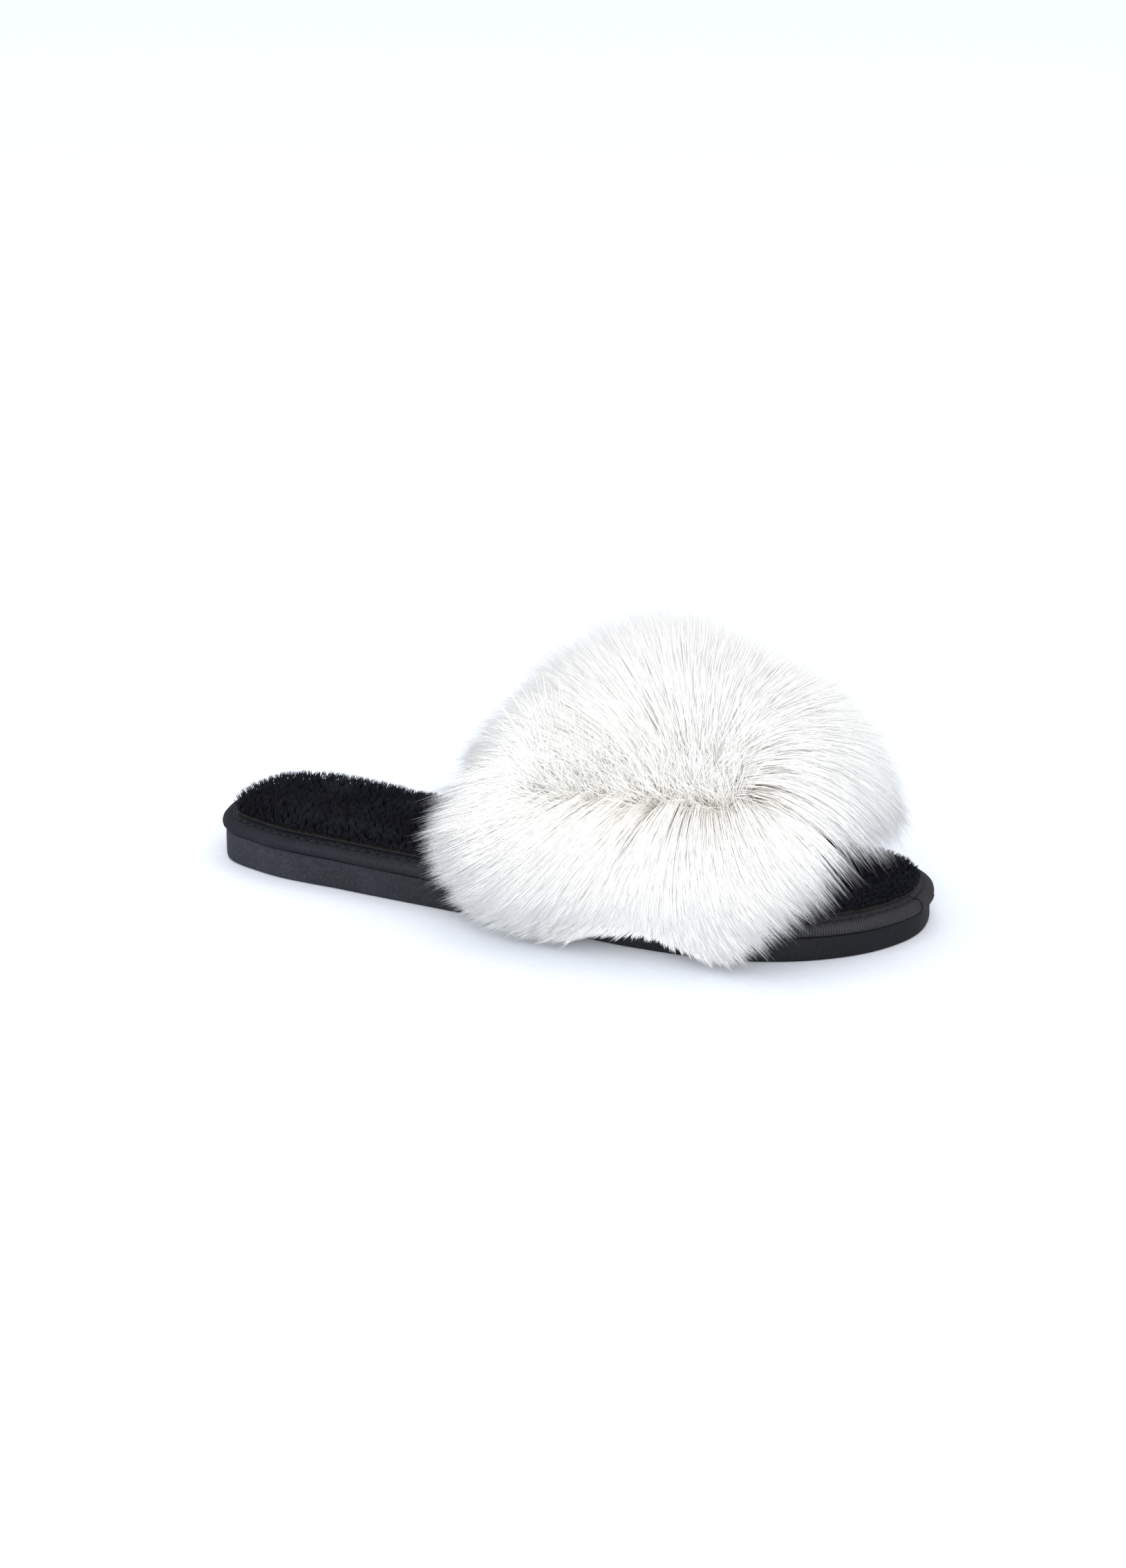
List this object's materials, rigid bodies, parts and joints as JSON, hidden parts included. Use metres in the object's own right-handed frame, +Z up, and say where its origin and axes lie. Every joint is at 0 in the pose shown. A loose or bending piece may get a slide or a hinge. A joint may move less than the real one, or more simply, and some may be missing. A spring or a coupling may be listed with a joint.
{
  "type": "fluffy house slipper",
  "caption": "Right-foot slide slipper: flat foam sole, plush insole bound with ribbed tape, and a broad strap of long-pile faux fur.",
  "frame": {"origin": "on the ground, under the middle of the sole's length, on the sole's centre line", "axes": "+X from heel to toe, +Y towards the inner side of a right foot, +Z up"},
  "size_m": [0.262, 0.1476, 0.1058],
  "materials": {
    "outsole_foam": "matt foamed EVA, charcoal black",
    "board": "fibre board",
    "cushion": "open-cell foam",
    "black_plush": "short dense pile",
    "ribbed_tape": "grosgrain tape with fine cross ribs",
    "black_thread": "twisted thread",
    "lining_cloth": "brushed knit",
    "backing_knit": "fine knit",
    "white_fur": "long straight faux fur pile, soft sheen",
    "light_thread": "twisted thread"
  },
  "bodies": {
    "root": {"outsole": "outsole_foam", "insole_board": "board", "cushion_foam": "cushion", "insole_plush": "black_plush", "edge_binding": "ribbed_tape", "binding_stitches": "black_thread", "strap_lining": "lining_cloth", "strap_foam": "cushion", "fur_backing": "backing_knit", "fur_pile": "white_fur", "strap_edge_stitches": "light_thread"}
  },
  "joints": []
}
